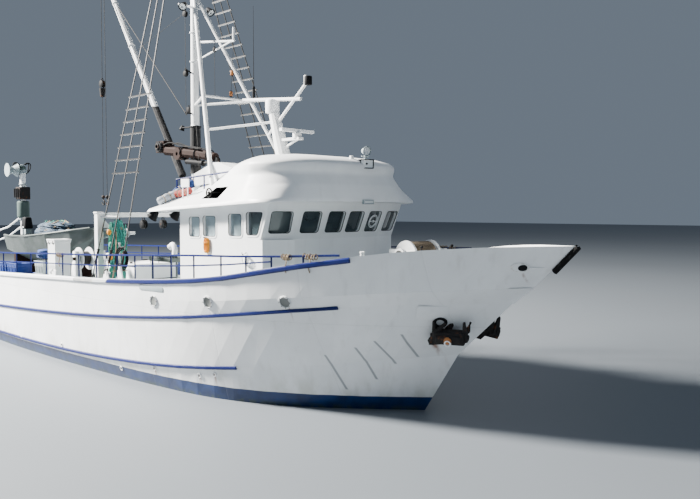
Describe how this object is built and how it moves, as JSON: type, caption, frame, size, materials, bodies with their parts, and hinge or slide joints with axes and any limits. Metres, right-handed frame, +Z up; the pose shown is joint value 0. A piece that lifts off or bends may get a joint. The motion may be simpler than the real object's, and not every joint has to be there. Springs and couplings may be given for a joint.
{
  "type": "motor fishing vessel",
  "caption": "Steel motor fishing vessel with flared bow, domed wheelhouse, mast with boom and shrouds, net gear, skiff, windlass, propeller and rudder.",
  "frame": {"origin": "centreline of the hull, amidships, on the load waterline", "axes": "+X towards the bow, +Y to port, +Z up"},
  "size_m": [23.5324, 6.5044, 14.85],
  "materials": {
    "white_paint": "semi-gloss white paint, weathered",
    "blue_paint": "gloss royal blue paint",
    "window_glass": "dark tinted window glass",
    "black_iron": "black paint with rust",
    "black_rubber": "dull black rubber",
    "brown_paint": "brown primer, dull",
    "bare_aluminium": "dull bare plate",
    "steel_wire": "galvanised wire",
    "bronze": "worn bronze",
    "antifouling": "matt deep blue bottom paint",
    "net_twine": "blue and green net twine, gathered",
    "grey_paint": "grey paint"
  },
  "bodies": {
    "vessel": {"hull": "white_paint", "bow_bulwark": "white_paint", "starboard_bulwark": "white_paint", "port_bulwark": "white_paint", "stern_bulwark": "white_paint", "starboard_gunwale_strake": "blue_paint", "port_gunwale_strake": "blue_paint", "starboard_middle_strake": "blue_paint", "port_middle_strake": "blue_paint", "starboard_low_strake": "blue_paint", "port_low_strake": "blue_paint", "starboard_rail": "blue_paint", "port_rail": "blue_paint", "stem_fender": "black_rubber", "wheelhouse_roof": "white_paint", "wheelhouse_walls": "white_paint", "wheelhouse_front": "white_paint", "front_glazing": "window_glass", "starboard_glazing": "window_glass", "port_glazing": "window_glass", "roof_casing": "white_paint", "mast": "white_paint", "mast_legs": "white_paint", "radar_post": "white_paint", "windlass_frame": "white_paint", "starboard_anchor": "black_iron", "port_anchor": "black_iron", "starboard_shrouds": "steel_wire", "port_shrouds": "steel_wire", "net_gantry": "white_paint", "net_bundle": "net_twine", "skiff": "bare_aluminium", "skiff_cradle": "brown_paint", "hatch_coaming": "white_paint", "deck_locker": "white_paint", "fore_locker": "white_paint", "fore_bitts": "black_iron", "aft_bitts": "black_iron", "hauler_post": "white_paint"},
    "door": {"wheelhouse_door": "white_paint"},
    "boom": {"cargo_boom": "white_paint"},
    "jib": {"crane_jib": "brown_paint"},
    "scanner": {"radar_scanner": "white_paint"},
    "windlass": {"windlass_drum": "white_paint"},
    "roller": {"net_roller": "grey_paint"},
    "hauler": {"hauler_head": "grey_paint"},
    "hatch": {"hatch_lid": "white_paint"},
    "screw": {"propeller": "bronze"},
    "steering": {"rudder": "antifouling"}
  },
  "joints": [
    {"name": "door_hinge", "type": "hinge", "parent": "vessel", "child": "door", "pos_m": [2.34, -1.3, 3.2], "axis": [0, 0, 1], "range_deg": [0, 110]},
    {"name": "boom_slew", "type": "hinge", "parent": "vessel", "child": "boom", "pos_m": [-0.62, 0, 5], "axis": [0, 0, 1], "range_deg": [-45, 5]},
    {"name": "jib_luff", "type": "hinge", "parent": "vessel", "child": "jib", "pos_m": [-0.05, -0.42, 5.72], "axis": [0, -1, 0], "range_deg": [0, 10]},
    {"name": "scanner_turn", "type": "hinge", "parent": "vessel", "child": "scanner", "pos_m": [4.28, 0, 6.05], "axis": [0, 0, 1], "continuous": true},
    {"name": "windlass_turn", "type": "hinge", "parent": "vessel", "child": "windlass", "pos_m": [8.1, 0, 3.26], "axis": [0, 1, 0], "continuous": true},
    {"name": "roller_turn", "type": "hinge", "parent": "vessel", "child": "roller", "pos_m": [-0.33, -2.3, 3.55], "axis": [0, 1, 0], "continuous": true},
    {"name": "hauler_slew", "type": "hinge", "parent": "vessel", "child": "hauler", "pos_m": [-9.75, -0.9, 5.5], "axis": [0, 0, 1], "range_deg": [-90, 90]},
    {"name": "hatch_hinge", "type": "hinge", "parent": "vessel", "child": "hatch", "pos_m": [-3.63, 0, 2.56], "axis": [0, -1, 0], "range_deg": [0, 100]},
    {"name": "propeller_turn", "type": "hinge", "parent": "vessel", "child": "screw", "pos_m": [-8.3, 0, -1.85], "axis": [1, 0, 0], "continuous": true},
    {"name": "rudder_turn", "type": "hinge", "parent": "vessel", "child": "steering", "pos_m": [-9.35, 0, -1.8], "axis": [0, 0, 1], "range_deg": [-35, 35]}
  ]
}
